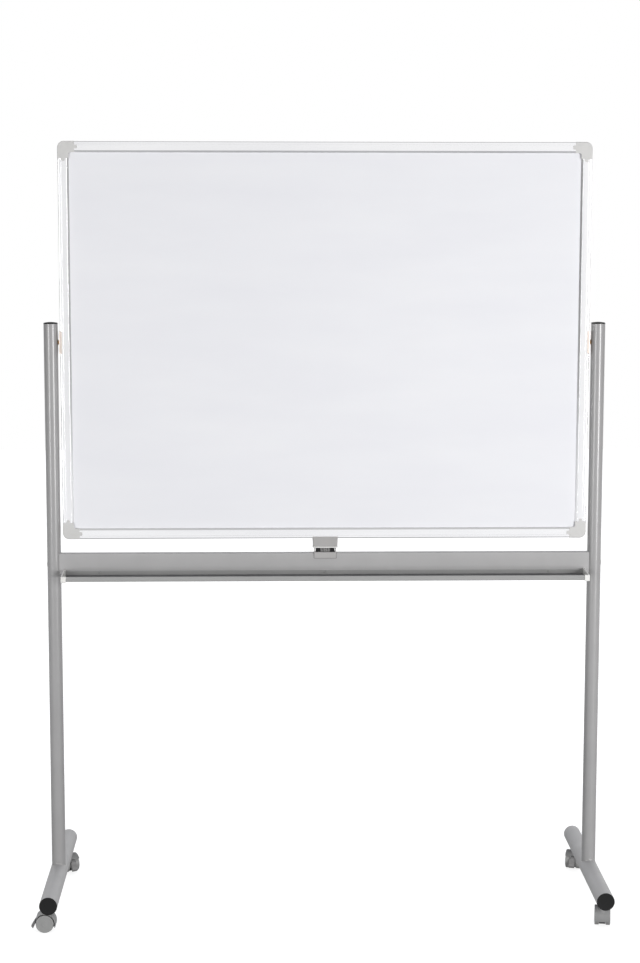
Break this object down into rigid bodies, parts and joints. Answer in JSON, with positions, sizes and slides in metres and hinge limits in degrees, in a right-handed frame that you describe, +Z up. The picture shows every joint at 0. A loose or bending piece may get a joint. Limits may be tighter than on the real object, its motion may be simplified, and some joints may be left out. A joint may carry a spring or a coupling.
{
  "type": "mobile reversible whiteboard on a stand",
  "caption": "Reversible whiteboard in an aluminium frame, hung on pivots between two posts with a latch, pen tray, tube feet and braked twin-wheel casters.",
  "frame": {"origin": "on the floor midway between the two posts, straight below the board's pivot axis", "axes": "+Z up, +X along the board's width towards the viewer's right, -Y out of the board's front side"},
  "size_m": [1.3066, 0.516, 1.755],
  "materials": {
    "enamelled_steel_white": "gloss",
    "honeycomb_core": "matte",
    "anodised_aluminium": "satin",
    "corner_plastic": "satin",
    "zinc_plated_steel": "satin",
    "brass": "satin",
    "powder_coated_steel": "satin",
    "black_plastic": "matte",
    "latch_plastic": "satin",
    "tray_cap_plastic": "satin",
    "caster_plastic": "satin",
    "caster_wheel_plastic": "satin",
    "axle_steel": "satin"
  },
  "bodies": {
    "stand": {"post_left": "powder_coated_steel", "post_right": "powder_coated_steel", "post_caps": "black_plastic", "foot_left": "powder_coated_steel", "foot_right": "powder_coated_steel", "foot_caps_front": "black_plastic", "foot_caps_back": "black_plastic", "crossbar": "powder_coated_steel", "crossbar_inserts": "zinc_plated_steel", "crossbar_bolts": "zinc_plated_steel", "pen_tray": "powder_coated_steel", "tray_cap_left": "tray_cap_plastic", "tray_cap_right": "tray_cap_plastic", "tray_screws": "zinc_plated_steel", "latch_keeper": "latch_plastic", "keeper_screws": "zinc_plated_steel", "pivot_bolts": "zinc_plated_steel", "pivot_nuts": "zinc_plated_steel", "pivot_spacers": "brass", "caster_stems": "zinc_plated_steel"},
    "board": {"front_writing_sheet": "enamelled_steel_white", "back_writing_sheet": "enamelled_steel_white", "board_core": "honeycomb_core", "frame_rail_top": "anodised_aluminium", "frame_rail_bottom": "anodised_aluminium", "frame_rail_left": "anodised_aluminium", "frame_rail_right": "anodised_aluminium", "corner_cap_top_left": "corner_plastic", "corner_cap_top_right": "corner_plastic", "corner_cap_bottom_left": "corner_plastic", "corner_cap_bottom_right": "corner_plastic", "pivot_plate_left": "zinc_plated_steel", "pivot_plate_right": "zinc_plated_steel", "pivot_plate_screws": "zinc_plated_steel", "latch_housing": "latch_plastic", "latch_housing_screws": "zinc_plated_steel", "latch_spring": "zinc_plated_steel"},
    "latch": {"latch_slider": "black_plastic", "latch_grips": "latch_plastic"},
    "front_left_caster": {"front_left_caster_hood": "caster_plastic", "front_left_caster_axle": "axle_steel"},
    "front_left_caster_wheel_a": {"front_left_caster_wheel_a": "caster_wheel_plastic"},
    "front_left_caster_wheel_b": {"front_left_caster_wheel_b": "caster_wheel_plastic"},
    "front_left_caster_brake_pedal": {"front_left_caster_brake_pedal": "caster_plastic"},
    "front_right_caster": {"front_right_caster_hood": "caster_plastic", "front_right_caster_axle": "axle_steel"},
    "front_right_caster_wheel_a": {"front_right_caster_wheel_a": "caster_wheel_plastic"},
    "front_right_caster_wheel_b": {"front_right_caster_wheel_b": "caster_wheel_plastic"},
    "front_right_caster_brake_pedal": {"front_right_caster_brake_pedal": "caster_plastic"},
    "back_left_caster": {"back_left_caster_hood": "caster_plastic", "back_left_caster_axle": "axle_steel"},
    "back_left_caster_wheel_a": {"back_left_caster_wheel_a": "caster_wheel_plastic"},
    "back_left_caster_wheel_b": {"back_left_caster_wheel_b": "caster_wheel_plastic"},
    "back_left_caster_brake_pedal": {"back_left_caster_brake_pedal": "caster_plastic"},
    "back_right_caster": {"back_right_caster_hood": "caster_plastic", "back_right_caster_axle": "axle_steel"},
    "back_right_caster_wheel_a": {"back_right_caster_wheel_a": "caster_wheel_plastic"},
    "back_right_caster_wheel_b": {"back_right_caster_wheel_b": "caster_wheel_plastic"},
    "back_right_caster_brake_pedal": {"back_right_caster_brake_pedal": "caster_plastic"}
  },
  "joints": [
    {"name": "board_flip", "type": "hinge", "parent": "stand", "child": "board", "pos_m": [0, 0, 1.305], "axis": [1, 0, 0], "continuous": true},
    {"name": "latch_lift", "type": "slide", "parent": "board", "child": "latch", "axis": [0, 0, 1], "range_m": [0, 0.008], "stiffness_N_per_m": 150, "springref_m": -0.01, "deforming": ["latch_spring"]},
    {"name": "front_left_swivel", "type": "hinge", "parent": "stand", "child": "front_left_caster", "pos_m": [-0.6215, -0.215, 0.035], "axis": [0, 0, 1], "continuous": true},
    {"name": "front_left_wheel_a_roll", "type": "hinge", "parent": "front_left_caster", "child": "front_left_caster_wheel_a", "pos_m": [-0.6325, -0.215, 0.02], "axis": [0, -1, 0], "continuous": true},
    {"name": "front_left_wheel_b_roll", "type": "hinge", "parent": "front_left_caster", "child": "front_left_caster_wheel_b", "pos_m": [-0.6325, -0.215, 0.02], "axis": [0, -1, 0], "continuous": true},
    {"name": "front_left_brake", "type": "hinge", "parent": "front_left_caster", "child": "front_left_caster_brake_pedal", "pos_m": [-0.6465, -0.215, 0.028], "axis": [0, -1, 0], "range_deg": [0, 15]},
    {"name": "front_right_swivel", "type": "hinge", "parent": "stand", "child": "front_right_caster", "pos_m": [0.6215, -0.215, 0.035], "axis": [0, 0, 1], "continuous": true},
    {"name": "front_right_wheel_a_roll", "type": "hinge", "parent": "front_right_caster", "child": "front_right_caster_wheel_a", "pos_m": [0.62303, -0.20411, 0.02], "axis": [-0.9903, 0.1392, 0], "continuous": true},
    {"name": "front_right_wheel_b_roll", "type": "hinge", "parent": "front_right_caster", "child": "front_right_caster_wheel_b", "pos_m": [0.62303, -0.20411, 0.02], "axis": [-0.9903, 0.1392, 0], "continuous": true},
    {"name": "front_right_brake", "type": "hinge", "parent": "front_right_caster", "child": "front_right_caster_brake_pedal", "pos_m": [0.62498, -0.19024, 0.028], "axis": [-0.9903, 0.1392, 0], "range_deg": [0, 15]},
    {"name": "back_left_swivel", "type": "hinge", "parent": "stand", "child": "back_left_caster", "pos_m": [-0.6215, 0.215, 0.035], "axis": [0, 0, 1], "continuous": true},
    {"name": "back_left_wheel_a_roll", "type": "hinge", "parent": "back_left_caster", "child": "back_left_caster_wheel_a", "pos_m": [-0.61584, 0.20557, 0.02], "axis": [0.8572, 0.515, 0], "continuous": true},
    {"name": "back_left_wheel_b_roll", "type": "hinge", "parent": "back_left_caster", "child": "back_left_caster_wheel_b", "pos_m": [-0.61584, 0.20557, 0.02], "axis": [0.8572, 0.515, 0], "continuous": true},
    {"name": "back_left_brake", "type": "hinge", "parent": "back_left_caster", "child": "back_left_caster_brake_pedal", "pos_m": [-0.60862, 0.19357, 0.028], "axis": [0.8572, 0.515, 0], "range_deg": [0, 15]},
    {"name": "back_right_swivel", "type": "hinge", "parent": "stand", "child": "back_right_caster", "pos_m": [0.6215, 0.215, 0.035], "axis": [0, 0, 1], "continuous": true},
    {"name": "back_right_wheel_a_roll", "type": "hinge", "parent": "back_right_caster", "child": "back_right_caster_wheel_a", "pos_m": [0.6181, 0.20454, 0.02], "axis": [0.9511, -0.309, 0], "continuous": true},
    {"name": "back_right_wheel_b_roll", "type": "hinge", "parent": "back_right_caster", "child": "back_right_caster_wheel_b", "pos_m": [0.6181, 0.20454, 0.02], "axis": [0.9511, -0.309, 0], "continuous": true},
    {"name": "back_right_brake", "type": "hinge", "parent": "back_right_caster", "child": "back_right_caster_brake_pedal", "pos_m": [0.61377, 0.19122, 0.028], "axis": [0.9511, -0.309, 0], "range_deg": [0, 15]}
  ]
}
